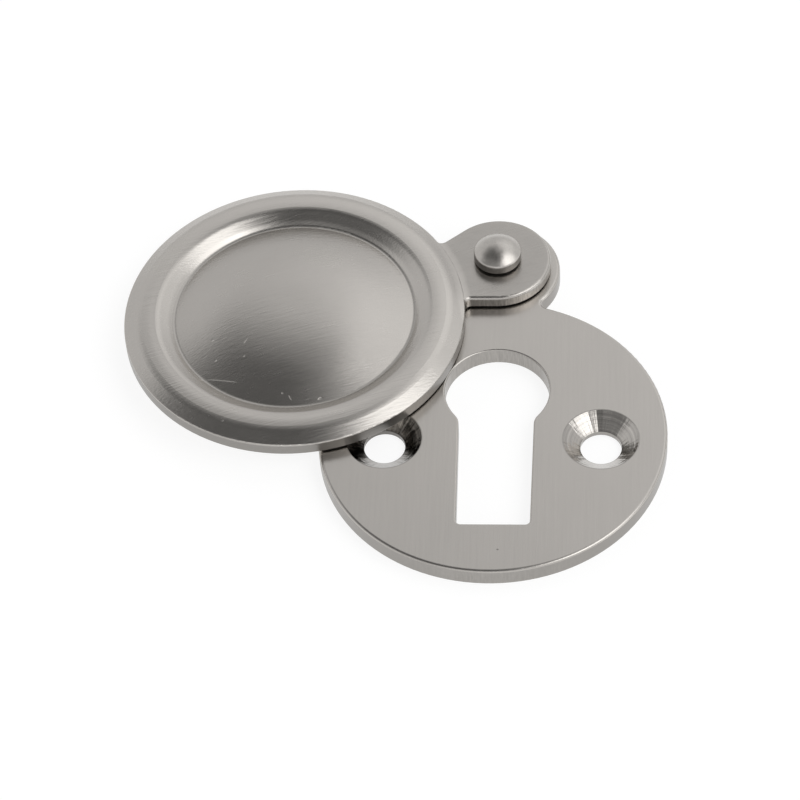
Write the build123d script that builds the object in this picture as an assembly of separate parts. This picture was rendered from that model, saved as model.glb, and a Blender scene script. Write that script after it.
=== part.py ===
from build123d import *
import math
import os

# A covered keyhole escutcheon, lying on its back with the cover swung aside.
# Millimetres and degrees. The origin is midway between the two screw holes, on the back face.
# +Z points out of the front face, +Y towards the pivot ear.

# Back plate
disc_radius = 16.0
disc_centre_y = 0.75
plate_thickness = 1.75
plate_front_round = 0.3
plate_back_round = 0.1
plate_ear_radius = 5.9
plate_ear_corner = 0.6

# Screw holes in the back plate, on the X axis
screw_spacing = 19.85
screw_hole_radius = 1.9
countersink_radius = 3.5
countersink_land = 0.45

# Keyhole
keyhole_centre_x = 0.3
bow_radius = 4.85
bow_centre_y = 5.85
slot_top_half_width = 3.5
slot_bottom_half_width = 3.32
slot_bottom_y = -9.85
shoulder_round = 1.5
slot_corner_round = 0.45
keyhole_edge_round = 0.15

# Pivot: the rivet and the rest position of the cover
pivot_reach = 4.25
open_angle = 69.8
shank_radius = 1.25
running_clearance = 0.05
tail_spread = 0.7
tail_depth = 0.55
ear_gap = 0.2
head_gap = 0.25
head_radius = 2.25
head_height = 1.8
head_crown_radius = 3.1
head_shoulder_round = 0.35
head_underside_round = 0.1

# Swing cover, pressed from sheet: a raised ring inside the rim and a low dome inside the ring.
# Heights are above the cover's base.
cover_overhang = 0.1
sheet = 1.2
pressed_wall = 0.85
rim_top_round = 0.18
rim_bottom_round = 0.1
ring_outer_slope = 28.0
ring_outer_bend = 1.7
crest_inset = 2.5
crest_height = 2.02
crest_bend = 6.9
ring_inner_bend = 1.4
ring_inner_slope = 37.0
crease_inset = 4.75
crease_height = 0.97
crease_round = 0.4
dome_edge_slope = 19.5
shoulder_inset = 4.05
dome_shoulder = 15.0
dome_cap = 38.0
ear_step = 0.85
ear_top_round = 0.3
neck_taper = 20.0
neck_corner = 0.6

# Places worked out from the sizes above
pivot_distance = disc_radius + pivot_reach
pivot_y = disc_centre_y + pivot_distance
tail_radius = shank_radius + tail_spread
cover_radius = disc_radius + cover_overhang
crest_radius = cover_radius - crest_inset
crease_radius = cover_radius - crease_inset
cover_ear_radius = plate_ear_radius - ear_step
cover_base = plate_thickness + ear_gap
head_base = cover_base + sheet + head_gap


def keyhole_outline():
    """Round bow over a slot that narrows a little towards its foot."""
    bow = Pos(keyhole_centre_x, bow_centre_y) * Circle(bow_radius)
    slot = Polygon(
        (keyhole_centre_x - slot_bottom_half_width, slot_bottom_y),
        (keyhole_centre_x + slot_bottom_half_width, slot_bottom_y),
        (keyhole_centre_x + slot_top_half_width, bow_centre_y),
        (keyhole_centre_x - slot_top_half_width, bow_centre_y),
        align=None,
    )
    outline = bow + slot
    corners = outline.vertices().sort_by(Axis.Y)
    outline = fillet(corners[:2], slot_corner_round)
    shoulders = [v for v in outline.vertices() if is_shoulder(v)]
    return fillet(shoulders, shoulder_round)


def is_shoulder(vertex):
    """True where the slot's side meets the bow."""
    reach = math.hypot(vertex.X - keyhole_centre_x, vertex.Y - bow_centre_y)
    return abs(reach - bow_radius) < 0.01 and vertex.Y < bow_centre_y


def plate_outline():
    """Round disc and round pivot ear, with the corners between them eased."""
    disc = Pos(0, disc_centre_y) * Circle(disc_radius)
    ear = Pos(0, pivot_y) * Circle(plate_ear_radius)
    outline = disc + ear
    return fillet(junction_corners(outline, disc_centre_y, disc_radius), plate_ear_corner)


def junction_corners(outline, centre_y, radius):
    """The two corners of an outline that lie on a circle about (0, centre_y), nearest the pivot."""
    on_circle = [
        v for v in outline.vertices() if abs(math.hypot(v.X, v.Y - centre_y) - radius) < 0.01
    ]
    return sorted(on_circle, key=lambda v: math.hypot(v.X, v.Y - pivot_y))[:2]


def countersunk_hole(x):
    """Straight land at the back and a cone that opens to the front face."""
    land = Pos(x, 0, 0) * Cylinder(
        screw_hole_radius, plate_thickness, align=(Align.CENTER, Align.CENTER, Align.MIN)
    )
    cone = Pos(x, 0, countersink_land) * Cone(
        screw_hole_radius,
        countersink_radius,
        plate_thickness - countersink_land,
        align=(Align.CENTER, Align.CENTER, Align.MIN),
    )
    return land + cone


def rivet_tail():
    """Countersink for the tail of the rivet, which is spread until it is flush with the back."""
    return Pos(0, pivot_y, 0) * Cone(
        tail_radius, shank_radius, tail_depth, align=(Align.CENTER, Align.CENTER, Align.MIN)
    )


def make_back_plate():
    plate = extrude(plate_outline(), plate_thickness)
    front = plate.edges().filter_by_position(Axis.Z, plate_thickness, plate_thickness)
    plate = fillet(front, plate_front_round)
    back = plate.edges().filter_by_position(Axis.Z, 0, 0)
    plate = fillet(back, plate_back_round)

    plate -= extrude(keyhole_outline(), plate_thickness)
    rim = [
        e
        for e in plate.edges().filter_by_position(Axis.Z, plate_thickness, plate_thickness)
        if math.hypot(e.center().X, e.center().Y - disc_centre_y) < disc_radius - 2 * plate_front_round
        and e.center().Y < pivot_y - plate_ear_radius
    ]
    plate = fillet(rim, keyhole_edge_round)

    for side in (-1, 1):
        plate -= countersunk_hole(side * screw_spacing / 2)
    plate -= Pos(0, pivot_y, 0) * Cylinder(
        shank_radius, plate_thickness, align=(Align.CENTER, Align.CENTER, Align.MIN)
    )
    plate -= rivet_tail()
    return plate


def crown_arc(edge_radius, centre_height, radius):
    """Arc of a sphere centred on the axis, from its edge up to its top."""
    half = math.asin(edge_radius / radius) / 2
    edge = (edge_radius, centre_height + math.sqrt(radius**2 - edge_radius**2))
    middle = (radius * math.sin(half), centre_height + radius * math.cos(half))
    return ThreePointArc(edge, middle, (0, centre_height + radius))


def make_pivot_rivet():
    """Flush tail, a shank through both ears and a domed head, turned as one half section."""
    top = head_base + head_height
    crown = crown_arc(head_radius, top - head_crown_radius, head_crown_radius)
    steps = Polyline(
        (0, top),
        (0, 0),
        (tail_radius, 0),
        (shank_radius, tail_depth),
        (shank_radius, head_base),
        (head_radius, head_base),
        crown @ 0,
    )
    profile = make_face([steps, crown])
    rim = sorted(profile.vertices(), key=lambda v: v.X * 10 + v.Y)[-2:]
    profile = fillet(rim[0], head_underside_round)
    shoulder = profile.vertices().sort_by(Axis.Y)[-2]
    profile = fillet(shoulder, head_shoulder_round)
    return Pos(0, pivot_y, 0) * revolve(Plane.XZ * profile, Axis.Z)


def cover_section(inset):
    """Half section of the cover under its outer face, or under a face that lies this far inside it."""
    outer = math.radians(ring_outer_slope)
    inner = math.radians(ring_inner_slope)
    edge = math.radians(dome_edge_slope)

    # The straight slopes, moved inwards by the inset
    rim = cover_radius - inset
    rim_top = sheet + inset * (math.tan(outer) - 1 / math.cos(outer))
    shift = inset * (1 / math.cos(inner) - 1 / math.cos(edge)) / (math.tan(inner) + math.tan(edge))
    crease_x = crease_radius + shift
    crease_y = crease_height - inset / math.cos(edge) - shift * math.tan(edge)
    peak_x = (rim_top - crease_y + rim * math.tan(outer) + crease_x * math.tan(inner)) / (
        math.tan(outer) + math.tan(inner)
    )
    peak_y = crease_y + (peak_x - crease_x) * math.tan(inner)
    slopes = Polygon(
        (0, 0),
        (rim, 0),
        (rim, rim_top),
        (peak_x, peak_y),
        (crease_x, crease_y),
        (0, crease_y + crease_x * math.tan(edge)),
        align=None,
    )

    # The crest and the dome's top are cut to their own arcs, then every corner is eased
    crest = Pos(crest_radius, crest_height - crest_bend) * Circle(crest_bend - inset)
    shoulder_radius = crease_radius - shoulder_inset
    shoulder_height = crease_height + shoulder_inset * math.tan(edge)
    cap_centre = shoulder_height - math.sqrt(dome_cap**2 - shoulder_radius**2)
    cap = Pos(0, cap_centre) * Circle(dome_cap - inset)
    section = slopes & (crest + cap)
    rounds = [
        ring_outer_bend - inset,
        ring_inner_bend - inset,
        crease_round + inset,
        dome_shoulder - inset,
    ]
    for corner, radius in zip((4, 3, 2, 1), rounds):
        upper = [v for v in section.vertices().sort_by(Axis.X) if v.Y > 0.01]
        section = fillet(upper[corner], radius)
    return section


def cover_disc():
    """Solid of revolution under the cover's outer face, with its top rim eased."""
    section = cover_section(0)
    rim = section.vertices().sort_by(Axis.X)[-2:].sort_by(Axis.Y)[-1]
    return revolve(Plane.XZ * fillet(rim, rim_top_round), Axis.Z)


def cover_ear_outline():
    """Round ear about the pivot and a neck that tapers to the rim, on a segment of the disc."""
    slope = math.radians(neck_taper)
    foot_x = cover_ear_radius * math.cos(slope)
    foot_y = -cover_ear_radius * math.sin(slope)
    neck_length = pivot_distance - cover_radius * 0.9
    end_x = foot_x - (neck_length + foot_y) * math.tan(slope)
    ear = Circle(cover_ear_radius)
    neck = Polygon(
        (-foot_x, foot_y), (-end_x, -neck_length), (end_x, -neck_length), (foot_x, foot_y), align=None
    )
    outline = Pos(0, -pivot_distance) * Circle(cover_radius) + ear + neck
    outline = fillet(rim_points(outline), neck_corner)
    chord_y = min(v.Y for v in rim_points(outline))
    return outline & Pos(0, chord_y + cover_radius) * Rectangle(2 * cover_radius, 2 * cover_radius)


def rim_points(outline):
    """Corners of the cover's outline on its rim circle, where the neck leaves it."""
    return [
        v
        for v in outline.vertices()
        if abs(math.hypot(v.X, v.Y + pivot_distance) - cover_radius) < 0.01
        and v.Y > cover_radius - pivot_distance - cover_ear_radius
    ]


def make_cover_ear():
    """Flat ear and neck with a rounded top edge, square along the straight cut inside the disc."""
    ear = extrude(cover_ear_outline(), sheet)
    cut = ear.bounding_box().min.Y
    top = [
        e
        for e in ear.edges().filter_by_position(Axis.Z, sheet, sheet)
        if e.bounding_box().max.Y > cut + 0.01
    ]
    return fillet(top, ear_top_round)


def make_swing_cover():
    """Built hanging straight down from the pivot, then swung to its rest position."""
    axis_place = Pos(0, -pivot_distance, 0)
    cover = make_cover_ear() + axis_place * cover_disc()
    cover = fillet(cover.edges().filter_by_position(Axis.Z, 0, 0), rim_bottom_round)
    cover -= axis_place * revolve(Plane.XZ * cover_section(pressed_wall), Axis.Z)
    cover -= Cylinder(
        shank_radius + running_clearance, sheet, align=(Align.CENTER, Align.CENTER, Align.MIN)
    )
    return Pos(0, pivot_y, cover_base) * Rot(0, 0, -open_angle) * cover


parts = {
    "back_plate": make_back_plate(),
    "swing_cover": make_swing_cover(),
    "pivot_rivet": make_pivot_rivet(),
}

os.makedirs("parts", exist_ok=True)
for name, shape in parts.items():
    export_step(shape, f"parts/{name}.step")
    print(name, round(shape.volume, 2))
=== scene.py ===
import math

import bpy
from mathutils import Matrix, Vector

# A satin nickel escutcheon on a white table, in the broad soft light of a studio.
# Blender's lengths are in metres: MM and DEG turn millimetres and degrees into metres and radians.
MM = 0.001
DEG = math.pi / 180

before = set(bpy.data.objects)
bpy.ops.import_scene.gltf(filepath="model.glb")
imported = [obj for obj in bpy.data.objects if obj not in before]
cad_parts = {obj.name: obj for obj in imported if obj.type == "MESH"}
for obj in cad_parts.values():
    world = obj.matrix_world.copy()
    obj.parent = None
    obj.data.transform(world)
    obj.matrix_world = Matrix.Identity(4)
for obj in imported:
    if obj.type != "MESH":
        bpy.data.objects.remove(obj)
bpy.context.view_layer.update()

# Camera, fitted to the outlines in the photograph
TARGET = Vector((-8.811, 6.037, 0)) * MM
AZIMUTH = 6.083 * DEG
ELEVATION = 49.859 * DEG
ROLL = -4.54 * DEG
DISTANCE = 300 * MM
LENS = 144.83

# The studio around the table: an even glow, brighter on the far side, with darker and brighter areas.
# Each area, in degrees: tilt from straight up, azimuth from +X, radius of its even middle,
# width of its soft edge; and its strength.
GLOW = 0.83
GLOW_TO_FAR_SIDE = -0.12
GLOW_TO_RIGHT = -0.025
DARK_AREAS = {
    "overhead": (15.5, 159, 25, 11, 0.61),
    "overhead_left": (27.5, 211, 25, 14, 0.65),
    "beside_softbox": (20, 297, 8.5, 14, 0.71),
    "camera": (42, 276, 5, 9, 0.75),
    "low_on_camera_side": (114, 235, 23, 26, 0.5),
}
LIGHT_AREAS = {
    "softbox_right": (41, 345, 15.5, 9.5, 1.3),
    "softbox_spill": (38, 316, 5, 13, 0.9),
    "haze_behind": (47, 58, 2, 39, 0.36),
    "window_low_right": (94, 344.5, 7, 17.5, 0.95),
}

# Table: how much light it gives back, so that a soft shadow stays, and the white it shows besides
TABLE_SHADE = 0.22
TABLE_WHITE = 0.85
TABLE_HALF = 600 * MM
TABLE_TOP = -0.02 * MM

# Satin nickel plate, how dull it is, and how far its reflections spread across the brushing
NICKEL = (0.513, 0.49, 0.462)
PLATE_ROUGHNESS = 0.2
COVER_ROUGHNESS = 0.2
CONE_ROUGHNESS = 0.07
RIVET_ROUGHNESS = 0.25
BRUSHED_SPREAD = 0.3
PLATE_LINE = 90 * DEG
COVER_LINE = 20.2 * DEG

# From here to the nicks, all lengths are in millimetres.
# A band is one between its two middle radii and fades to nought at its two outer ones.
# A patch is a small ellipse: x, y, angle in degrees, half length, half width.

# Back plate
PLATE_FRONT = 1.75
FACE_SKIN = (0.005, 0.03)
SCREW_X = 9.925
COUNTERSINK_END = (3.5, 3.6)
COUNTERSINK_EDGE = (3.3, 3.42, 3.5, 3.62)
DRILLED_END = (1.95, 2.1)
KEYHOLE_PATCH = (0.3, -0.5, 90, 21, 12)
SPECK_PATCH = (0.82, -12.74, 0, 0.14, 0.12)
# Painted glint on the far side of the left countersink
LEFT_HOLE_GLINT_PATCH = (-8.55, 2.3, -60, 0.55, 0.3)

# How closely the cutter's marks lie: chatter round the cone, rings in each metre down it,
# and how fast the chatter changes from one hole to the other
CHATTER_CLOSENESS = 5
RINGS_IN_METRE = 4500
CHATTER_CHANGE = 500

# Cover, with radii from the centre of its disc
PIVOT = (0, 21)
COVER_CENTRE = (-19.005, 14.008)
DOME_RISES = ((0, 6, 7 * DEG), (4, 9.5, 12.5 * DEG))
DOME_END = (10.3, 10.8)
# Band of the painted shade in the crease round the dome
CREASE_SHADE_BAND = (11.15, 11.3, 11.45, 11.6)
INNER_SLOPE_BAND = (11.7, 12, 12.4, 13)
INNER_SLOPE = -31 * DEG
# Band of the painted highlight on the ring's crest
CREST_HIGHLIGHT_BAND = (12.7, 13.6, 14.2, 15.2)
SPUN_END = (15.7, 15.9)
NECK_CORNER_RADIUS = 16.06
NECK_FILL_REACH = 0.7
NECK_SLOPE = 14 * DEG
NECK_START = (14.6, 15.2)
# Where the ear is darker round the pivot
ROUND_PIVOT_PATCH = (*PIVOT, 0, 7.5, 7.5)
EAR_PATCH = (*PIVOT, 0, 10, 10)

# Nicks and scratches in the cover, each a patch
NICKS = (
    (-27.11, 5.77, 0, 0.26, 0.2),
    (-25.1, 5.6, -13, 1.8, 0.05),
    (-23.15, 9.41, 65, 0.4, 0.09),
    (-26.34, 9.92, 0, 0.16, 0.12),
    (-25.91, 7.74, 0, 0.14, 0.12),
    (-23.2, 7.8, 0, 0.12, 0.12),
    (-18.65, 3.59, 120, 0.35, 0.09),
    (-19.4, 4.0, 0, 0.1, 0.1),
    (-15.9, 3.6, 25, 0.3, 0.1),
    (-24.64, 0.34, 20, 0.14, 0.1),
)


def node(tree, kind, inputs=None, **settings):
    """Add a shader node; an input is a value or another node's output."""
    made = tree.nodes.new("ShaderNode" + kind)
    for key, value in settings.items():
        setattr(made, key, value)
    for key, value in (inputs or {}).items():
        if isinstance(value, bpy.types.NodeSocket):
            tree.links.new(value, made.inputs[key])
        else:
            made.inputs[key].default_value = value
    return made


def calc(tree, operation, *values):
    """Result of a Math node."""
    made = node(tree, "Math", dict(enumerate(values)), operation=operation)
    return made.outputs[0]


def times(tree, first, second):
    return calc(tree, "MULTIPLY", first, second)


def weighted(tree, start, *terms):
    """Start value plus each (value, factor) pair."""
    total = start
    for value, factor in terms:
        total = calc(tree, "MULTIPLY_ADD", value, factor, total)
    return total


def vector_calc(tree, operation, *values):
    """Result of a Vector Math node."""
    made = node(tree, "VectorMath", dict(enumerate(values)), operation=operation)
    return made.outputs["Value" if operation in ("DOT_PRODUCT", "LENGTH") else "Vector"]


def scaled(tree, vector, factor):
    """Vector times a number."""
    return node(tree, "VectorMath", {0: vector, "Scale": factor}, operation="SCALE").outputs["Vector"]


def to_world(tree, vector, kind):
    """Direction or normal, turned from the object's axes to the world's."""
    turned = node(
        tree, "VectorTransform", {0: vector}, vector_type=kind, convert_from="OBJECT", convert_to="WORLD"
    )
    return turned.outputs[0]


def ramp(tree, value, start, end, low=0.0, high=1.0):
    """Smooth step of a value, from low at start to high at end."""
    made = node(
        tree,
        "MapRange",
        {"Value": value, "From Min": start, "From Max": end, "To Min": low, "To Max": high},
        interpolation_type="SMOOTHSTEP",
    )
    return made.outputs["Result"]


def up_to(tree, value, start, end):
    """One below start, fading to nought at end."""
    return ramp(tree, value, start, end, 1, 0)


def band(tree, value, start, full, last, end):
    """One from full to last, fading to nought at start and at end."""
    return times(tree, ramp(tree, value, start, full), up_to(tree, value, last, end))


def mixed(tree, share, low, high):
    """Low where the share is nought, high where it is one."""
    return node(tree, "MapRange", {"Value": share, "To Min": low, "To Max": high}).outputs["Result"]


def heading(line):
    """Unit vector along a line in the XY plane."""
    return (math.cos(line), math.sin(line), 0)


def add_camera():
    forward = Vector((math.sin(AZIMUTH), -math.cos(AZIMUTH), 0)) * math.cos(ELEVATION)
    back = forward + Vector((0, 0, math.sin(ELEVATION)))
    level_right = Vector(heading(AZIMUTH))
    level_up = back.cross(level_right)
    right = level_right * math.cos(ROLL) + level_up * math.sin(ROLL)
    up = level_up * math.cos(ROLL) - level_right * math.sin(ROLL)

    data = bpy.data.cameras.new("camera")
    data.lens = LENS
    data.sensor_width = 36
    data.clip_start = 0.01
    data.clip_end = 10
    camera = bpy.data.objects.new("camera", data)
    turn = Matrix((right, up, back)).transposed().to_4x4()
    camera.matrix_world = Matrix.Translation(TARGET + back * DISTANCE) @ turn
    bpy.context.scene.collection.objects.link(camera)
    bpy.context.scene.camera = camera


def soft_area(tree, direction, tilt, azimuth, radius, edge):
    """One inside a round area of the studio, fading to nought over its edge."""
    centre = (
        math.sin(tilt * DEG) * math.cos(azimuth * DEG),
        math.sin(tilt * DEG) * math.sin(azimuth * DEG),
        math.cos(tilt * DEG),
    )
    off = calc(tree, "ARCCOSINE", vector_calc(tree, "DOT_PRODUCT", direction, centre))
    return up_to(tree, off, radius * DEG, (radius + edge) * DEG)


def add_studio():
    """The light all round; the camera itself sees plain white behind the table."""
    world = bpy.data.worlds.new("studio")
    bpy.context.scene.world = world
    world.use_nodes = True
    tree = world.node_tree
    direction = node(tree, "TexCoord").outputs["Generated"]
    lean = (GLOW_TO_RIGHT, GLOW_TO_FAR_SIDE, 0)
    level = calc(tree, "ADD", vector_calc(tree, "DOT_PRODUCT", direction, lean), GLOW)
    for *area, strength in DARK_AREAS.values():
        left = calc(tree, "MULTIPLY_ADD", soft_area(tree, direction, *area), -strength, 1.0)
        level = times(tree, level, left)
    for *area, strength in LIGHT_AREAS.values():
        level = calc(tree, "MULTIPLY_ADD", soft_area(tree, direction, *area), strength, level)
    level = calc(tree, "MAXIMUM", level, node(tree, "LightPath").outputs["Is Camera Ray"])
    tree.links.new(level, tree.nodes["Background"].inputs["Color"])


def table_material():
    """White to the camera and in reflections, darker in the light it gives back, clear from below."""
    material = bpy.data.materials.new("table")
    material.use_nodes = True
    tree = material.node_tree
    tree.nodes.remove(tree.nodes["Principled BSDF"])
    ray = node(tree, "LightPath").outputs
    seen = calc(tree, "MAXIMUM", ray["Is Camera Ray"], ray["Is Glossy Ray"])
    seen = calc(tree, "MAXIMUM", seen, ray["Is Transmission Ray"])
    white = node(tree, "Emission", {"Color": (1, 1, 1, 1), "Strength": times(tree, seen, TABLE_WHITE)})
    shade = node(tree, "BsdfDiffuse", {"Color": (TABLE_SHADE, TABLE_SHADE, TABLE_SHADE, 1)})
    top = node(tree, "AddShader", {0: white.outputs[0], 1: shade.outputs[0]})
    clear = node(tree, "BsdfTransparent")
    below = node(tree, "NewGeometry").outputs["Backfacing"]
    sided = node(tree, "MixShader", {0: below, 1: top.outputs[0], 2: clear.outputs[0]})
    tree.links.new(sided.outputs[0], tree.nodes["Material Output"].inputs["Surface"])
    return material


def add_table():
    mesh = bpy.data.meshes.new("table")
    corners = [(-1, -1), (1, -1), (1, 1), (-1, 1)]
    mesh.from_pydata([(x * TABLE_HALF, y * TABLE_HALF, TABLE_TOP) for x, y in corners], [], [(0, 1, 2, 3)])
    mesh.materials.append(table_material())
    table = bpy.data.objects.new("table", mesh)
    bpy.context.scene.collection.objects.link(table)


def noise(tree, place, size, line=0.0, detail=2.0):
    """Noise with grains of the given size in millimetres, its first side along a line in the XY plane."""
    grain = node(
        tree,
        "Mapping",
        {"Vector": place, "Rotation": (0, 0, line), "Scale": tuple(side * MM for side in size)},
        vector_type="TEXTURE",
    )
    made = node(tree, "TexNoise", {"Vector": grain.outputs[0], "Scale": 1.0, "Detail": detail})
    return made.outputs["Fac"]


def spot(tree, place, x, y, angle, half_length, half_width):
    """One inside a patch seen from above, with a soft edge."""
    local = node(
        tree,
        "Mapping",
        {
            "Vector": place,
            "Location": (x * MM, y * MM, 0),
            "Rotation": (0, 0, angle * DEG),
            "Scale": (half_length * MM, half_width * MM, 1),
        },
        vector_type="TEXTURE",
    )
    flat = vector_calc(tree, "MULTIPLY", local.outputs[0], (1, 1, 0))
    return up_to(tree, vector_calc(tree, "LENGTH", flat), 0.5, 1)


def surface_normal(tree):
    return node(tree, "TexCoord").outputs["Normal"]


def steep(tree):
    """One on walls, nought on faces that look up or down."""
    rise = node(tree, "SeparateXYZ", {0: surface_normal(tree)}).outputs["Z"]
    return up_to(tree, calc(tree, "ABSOLUTE", rise), 0.25, 0.45)


def start_metal(name):
    """Bare metal, with its shader's nodes and the place on its surface."""
    material = bpy.data.materials.new(name)
    material.use_nodes = True
    tree = material.node_tree
    tree.nodes["Principled BSDF"].inputs["Metallic"].default_value = 1
    return material, tree, node(tree, "TexCoord").outputs["Object"]


def brush(tree, line):
    """Spread the reflections across the brushing, which runs along a line in the XY plane."""
    shader = tree.nodes["Principled BSDF"]
    across = vector_calc(tree, "CROSS_PRODUCT", surface_normal(tree), heading(line))
    shader.inputs["Anisotropic"].default_value = BRUSHED_SPREAD
    tree.links.new(to_world(tree, across, "VECTOR"), shader.inputs["Tangent"])


def finish_metal(tree, tone, roughness, height, form=None):
    """Tone multiplies the colour of the nickel; height is in millimetres; form is a smoother normal."""
    shader = tree.nodes["Principled BSDF"]
    bump = node(tree, "Bump", {"Strength": 1.0, "Distance": MM, "Height": height})
    if form is not None:
        tree.links.new(form, bump.inputs["Normal"])
    tree.links.new(scaled(tree, NICKEL, tone), shader.inputs["Base Color"])
    tree.links.new(roughness, shader.inputs["Roughness"])
    tree.links.new(bump.outputs[0], shader.inputs["Normal"])


def countersinks(tree, place):
    """What lies in the cones, at their edges and in the holes below, and the cutter's two kinds of mark."""
    x, y, z = node(tree, "SeparateXYZ", {0: place}).outputs
    from_axis = calc(tree, "SUBTRACT", calc(tree, "ABSOLUTE", x), SCREW_X * MM)
    from_hole = node(tree, "CombineXYZ", {"X": from_axis, "Y": y}).outputs[0]
    reach = vector_calc(tree, "LENGTH", from_hole)
    reach_mm = calc(tree, "DIVIDE", reach, MM)

    thin, thick = FACE_SKIN
    off_front = up_to(tree, z, (PLATE_FRONT - thick) * MM, (PLATE_FRONT - thin) * MM)
    off_back = ramp(tree, z, thin * MM, thick * MM)
    inside = up_to(tree, reach_mm, *COUNTERSINK_END)
    sunk = times(tree, inside, times(tree, off_front, off_back))
    edge = times(tree, band(tree, reach_mm, *COUNTERSINK_EDGE), off_back)
    drilled = up_to(tree, reach_mm, *DRILLED_END)

    # Chatter runs down the cone, the cutter's rings run round it, and the two holes differ
    outward = scaled(tree, vector_calc(tree, "NORMALIZE", from_hole), CHATTER_CLOSENESS)
    apart = node(tree, "CombineXYZ", {"Z": times(tree, x, CHATTER_CHANGE)}).outputs[0]
    round_hole = vector_calc(tree, "ADD", outward, apart)
    chatter = node(tree, "TexNoise", {"Vector": round_hole, "Scale": 1.0, "Detail": 3})
    down_cone = times(tree, reach, RINGS_IN_METRE)
    rings = node(tree, "TexNoise", {"W": down_cone, "Scale": 1.0, "Detail": 3}, noise_dimensions="1D")
    return sunk, edge, drilled, chatter.outputs["Fac"], rings.outputs["Fac"]


def plate_nickel():
    """Brushed up and down, with cut marks in the countersinks and on the sheared walls."""
    material, tree, place = start_metal("plate_nickel")
    brush(tree, PLATE_LINE)
    fine = noise(tree, place, (3, 0.07, 0.07), PLATE_LINE)
    streak = noise(tree, place, (7, 0.3, 0.3), PLATE_LINE, 3)
    cloud = noise(tree, place, (5, 2.5, 2.5), PLATE_LINE, 3)
    speck = spot(tree, place, *SPECK_PATCH)
    sunk, edge, drilled, chatter, rings = countersinks(tree, place)

    # The keyhole's wall is marked by the shear; the plate's rim is even. All walls outside the cones are
    # darkened as painted shade
    wall = times(tree, steep(tree), calc(tree, "SUBTRACT", 1, sunk))
    shear = noise(tree, place, (0.14, 0.14, 1.3), 0, 3)
    shear = times(tree, wall, mixed(tree, spot(tree, place, *KEYHOLE_PATCH), 0.35, shear))

    # The left hole, beside the cover, is darkened further as painted shade, with a painted glint on its far
    # side
    x = node(tree, "SeparateXYZ", {0: place}).outputs["X"]
    left_hole_shade = times(tree, sunk, up_to(tree, x, -MM, MM))
    left_hole_glint = times(tree, left_hole_shade, spot(tree, place, *LEFT_HOLE_GLINT_PATCH))

    tone = weighted(tree, 0.925, (streak, 0.07), (cloud, 0.08), (speck, -0.4), (shear, 0.45), (wall, -0.5))
    # Painted shade darkens the countersink cones, their edges and the drilled holes below
    tone = weighted(tree, tone, (times(tree, rings, sunk), 0.5), (sunk, -0.33), (edge, -0.2))
    # Painted shade darkens the left hole further, and a painted glint lightens its far side
    tone = weighted(tree, tone, (drilled, -0.25), (left_hole_shade, -0.3), (left_hole_glint, 0.45))

    brushed = weighted(tree, PLATE_ROUGHNESS, (streak, 0.06), (cloud, 0.04))
    cut = weighted(tree, CONE_ROUGHNESS, (chatter, 0.12))
    roughness = weighted(tree, mixed(tree, sunk, brushed, cut), (wall, 0.05))

    flat_marks = weighted(tree, 0.0, (fine, 0.0014), (streak, 0.004))
    cone_marks = weighted(tree, 0.0, (chatter, 0.09), (rings, 0.014))
    height = weighted(tree, mixed(tree, sunk, flat_marks, cone_marks), (shear, 0.014))
    finish_metal(tree, tone, roughness, height)
    return material


def from_cover_centre(tree, place):
    """Flat offset from the cover's centre in millimetres, and its length."""
    centre = (COVER_CENTRE[0] * MM, COVER_CENTRE[1] * MM, 0)
    flat = vector_calc(tree, "MULTIPLY", vector_calc(tree, "SUBTRACT", place, centre), (1000, 1000, 0))
    return flat, vector_calc(tree, "LENGTH", flat)


def spun_form(tree, place):
    """Normal of a disc spun true about its centre, with the dome's slope and the ring's inner one eased."""
    flat, reach = from_cover_centre(tree, place)
    outward = vector_calc(tree, "NORMALIZE", flat)
    normal = surface_normal(tree)
    lean = vector_calc(tree, "DOT_PRODUCT", normal, outward)
    lift = node(tree, "SeparateXYZ", {0: normal}).outputs["Z"]
    slope = calc(tree, "ARCTAN2", lean, lift)

    # Only the upper side is eased, so that the hollow below keeps its own form
    upper = ramp(tree, lift, -0.1, 0.1)
    dome = 0.0
    for start, end, rise in DOME_RISES:
        dome = calc(tree, "ADD", dome, ramp(tree, reach, start, end, 0, rise))
    slope = mixed(tree, times(tree, up_to(tree, reach, *DOME_END), upper), slope, dome)
    slope = mixed(tree, times(tree, band(tree, reach, *INNER_SLOPE_BAND), upper), slope, INNER_SLOPE)

    side = scaled(tree, outward, calc(tree, "SINE", slope))
    rise = node(tree, "CombineXYZ", {"Z": calc(tree, "COSINE", slope)})
    spun = vector_calc(tree, "ADD", side, rise.outputs[0])
    on_disc = up_to(tree, reach, *SPUN_END)
    blend = node(tree, "Mix", {0: on_disc, 4: normal, 5: spun}, data_type="VECTOR").outputs[1]
    return to_world(tree, blend, "NORMAL")


def neck_fill(tree, place):
    """Height in millimetres of the pressed-in corner where the ring runs out into the flat ear."""
    flat, reach = from_cover_centre(tree, place)
    towards_ear = vector_calc(tree, "DOT_PRODUCT", flat, heading(COVER_LINE))
    off = calc(tree, "ABSOLUTE", calc(tree, "SUBTRACT", reach, NECK_CORNER_RADIUS))
    short = calc(tree, "MAXIMUM", calc(tree, "SUBTRACT", NECK_FILL_REACH, off), 0)
    curve = 2 * NECK_FILL_REACH / math.tan(NECK_SLOPE)
    fill = calc(tree, "DIVIDE", calc(tree, "POWER", short, 2), curve)
    return times(tree, fill, ramp(tree, towards_ear, *NECK_START))


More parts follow.
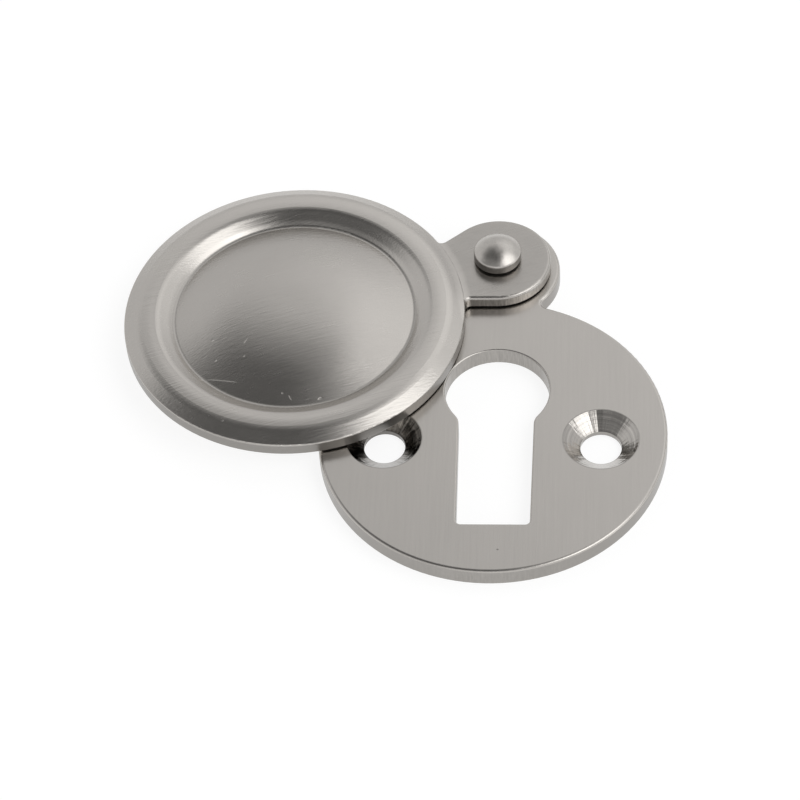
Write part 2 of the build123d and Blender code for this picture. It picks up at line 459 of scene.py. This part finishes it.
def cover_nickel():
    """Brushed from the disc towards the ear, with the small nicks and scratches of use."""
    material, tree, place = start_metal("cover_nickel")
    brush(tree, COVER_LINE)
    fine = noise(tree, place, (3, 0.09, 0.09), COVER_LINE)
    streak = noise(tree, place, (3, 0.17, 0.17), COVER_LINE, 3)
    cloud = noise(tree, place, (6, 3, 3), COVER_LINE, 3)
    mottle = noise(tree, place, (1.1, 0.7, 0.7), COVER_LINE, 3)

    nicks = 0.0
    for nick in NICKS:
        nicks = calc(tree, "MAXIMUM", nicks, spot(tree, place, *nick))

    # The ring's crest gets a painted highlight, the crease round the dome a thin dark line of painted shade,
    # and the ear is darker round the pivot
    reach = from_cover_centre(tree, place)[1]
    crest_highlight = band(tree, reach, *CREST_HIGHLIGHT_BAND)
    crease_shade = band(tree, reach, *CREASE_SHADE_BAND)
    darker_round_pivot = times(tree, spot(tree, place, *ROUND_PIVOT_PATCH), weighted(tree, 0.5, (mottle, 1)))

    # All walls are darkened as painted shade, and the ear's sheared one is marked across
    wall = steep(tree)
    marks = noise(tree, place, (0.16, 0.16, 1), 0, 3)
    ticks = times(tree, times(tree, marks, wall), spot(tree, place, *EAR_PATCH))

    tone = weighted(tree, 0.92, (streak, 0.06), (cloud, 0.06), (mottle, 0.04), (nicks, 0.2))
    # The crest's term is a painted highlight; the crease's and the walls' are painted shade
    tone = weighted(tree, tone, (darker_round_pivot, -0.13), (crest_highlight, 0.12), (crease_shade, -0.22), (wall, -0.42), (ticks, 0.8))
    roughness = weighted(tree, COVER_ROUGHNESS, (streak, 0.06), (cloud, 0.04), (mottle, 0.02), (wall, 0.05))
    height = weighted(tree, neck_fill(tree, place), (fine, 0.003), (streak, 0.012), (mottle, 0.003))
    height = weighted(tree, height, (nicks, -0.012), (ticks, 0.035))
    finish_metal(tree, tone, roughness, height, spun_form(tree, place))
    return material


def rivet_nickel():
    """Tumbled rather than brushed: softly mottled all over."""
    material, tree, place = start_metal("rivet_nickel")
    fine = noise(tree, place, (0.16, 0.16, 0.16), 0, 3)
    dimple = noise(tree, place, (0.5, 0.5, 0.5), 0, 3)
    wall = steep(tree)
    # Painted shade: the rivet's walls are darkened
    tone = weighted(tree, 0.75, (dimple, 0.2), (fine, 0.3), (wall, -0.4))
    roughness = weighted(tree, RIVET_ROUGHNESS, (dimple, 0.12), (wall, 0.06))
    height = weighted(tree, 0.0, (fine, 0.005), (dimple, 0.014))
    finish_metal(tree, tone, roughness, height)
    return material


add_camera()
add_studio()
add_table()

FINISHES = {
    "back_plate": plate_nickel(),
    "swing_cover": cover_nickel(),
    "pivot_rivet": rivet_nickel(),
}
for name, finish in FINISHES.items():
    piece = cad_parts[name]
    piece.data.materials.clear()
    piece.data.materials.append(finish)

bpy.context.scene.view_settings.view_transform = "Standard"
